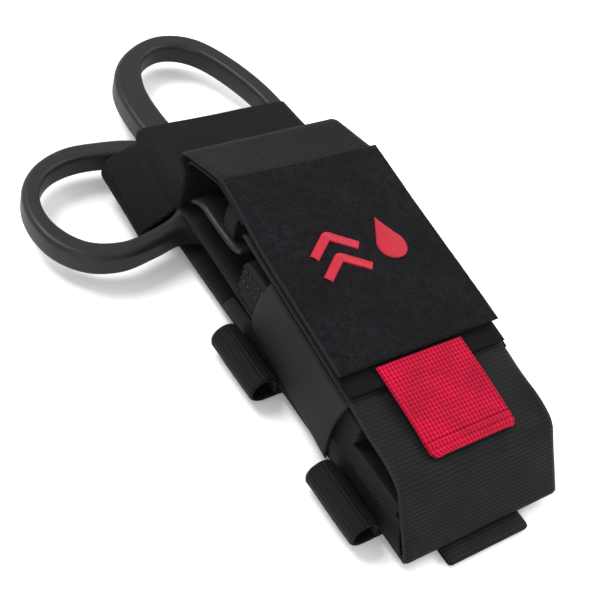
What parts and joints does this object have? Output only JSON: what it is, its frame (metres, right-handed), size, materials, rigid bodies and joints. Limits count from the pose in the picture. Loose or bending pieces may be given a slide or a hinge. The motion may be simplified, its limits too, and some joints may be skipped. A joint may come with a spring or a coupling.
{
  "type": "tourniquet with holder",
  "caption": "Windlass tourniquet folded in a belt and webbing holder, with hook-and-loop flap, pull tab, belt loops and sleeved trauma shears.",
  "frame": {"origin": "middle of the underside of the attachment strap, in the plane that the holder rests on", "axes": "+X across the holder, away from the thumb ring; +Y along the holder from its closed bottom end to the shears' rings; +Z out through the flap"},
  "size_m": [0.1171, 0.2321, 0.0445],
  "materials": {
    "webbing": "ribbed nylon webbing, near black",
    "loop_pile": "soft brushed loop pile, blue-black",
    "hook_tape": "hook tape, dark grey",
    "smooth_elastic": "smooth woven elastic, dark grey",
    "ribbed_elastic": "ribbed woven elastic, near black",
    "red_thread": "raised satin stitch, red",
    "red_webbing": "coarse woven webbing, crimson",
    "handle_plastic": "satin black moulding",
    "blade_steel": "brushed stainless steel",
    "tourniquet_webbing": "fine nylon webbing, black",
    "tourniquet_plastic": "smooth matt moulding, black",
    "label_webbing": "pale grey writing tape, blank"
  },
  "bodies": {
    "holder": {"back_panel": "webbing", "pocket_divider": "webbing", "end_wall": "webbing", "front_strap": "webbing", "front_loop_patch": "loop_pile", "elastic_band_left": "smooth_elastic", "elastic_band_right": "smooth_elastic", "belt_loop_lower": "webbing", "belt_loop_upper": "webbing", "strap_anchor": "webbing", "back_loop_patch": "loop_pile", "shears_band": "ribbed_elastic"},
    "attachment_strap": {"attachment_strap": "webbing", "strap_hook_patch": "hook_tape"},
    "flap": {"flap_webbing": "webbing", "flap_loop_panel": "loop_pile", "flap_hook_panel": "hook_tape", "embroidered_mark": "red_thread"},
    "pull_tab": {"pull_tab": "red_webbing"},
    "shears": {"finger_handle": "handle_plastic", "finger_blade": "blade_steel", "pivot_screw": "blade_steel", "pivot_nut": "blade_steel"},
    "shears_thumb_half": {"thumb_handle": "handle_plastic", "thumb_blade": "blade_steel"},
    "tourniquet": {"folded_strap": "tourniquet_webbing", "running_end": "tourniquet_webbing", "friction_buckle": "tourniquet_plastic", "stabiliser_plate": "tourniquet_plastic", "windlass_rod": "tourniquet_plastic", "windlass_clip": "tourniquet_plastic", "inner_band": "tourniquet_webbing", "time_strap": "label_webbing", "strap_tip": "tourniquet_webbing"}
  },
  "joints": [
    {"name": "flap_fold", "type": "hinge", "parent": "holder", "child": "flap", "pos_m": [0, 0.07, 0.0345], "axis": [-1, 0, 0], "range_deg": [0, 140]},
    {"name": "tab_bend", "type": "hinge", "parent": "flap", "child": "pull_tab", "pos_m": [0, -0.02305, 0.0345], "axis": [-1, 0, 0], "range_deg": [0, 100]},
    {"name": "shears_draw", "type": "slide", "parent": "holder", "child": "shears", "axis": [0, 1, 0], "range_m": [0, 0.12], "deforming": ["shears_band"]},
    {"name": "shears_pivot", "type": "hinge", "parent": "shears", "child": "shears_thumb_half", "pos_m": [0.002, 0.048, 0.0098], "axis": [0, 0, 1], "range_deg": [0, 10]},
    {"name": "strap_peel", "type": "hinge", "parent": "holder", "child": "attachment_strap", "pos_m": [0, 0.04185, 0], "axis": [1, 0, 0], "range_deg": [0, 60]},
    {"name": "tourniquet_play", "type": "slide", "parent": "holder", "child": "tourniquet", "axis": [0, 1, 0], "range_m": [0, 0.003]}
  ]
}
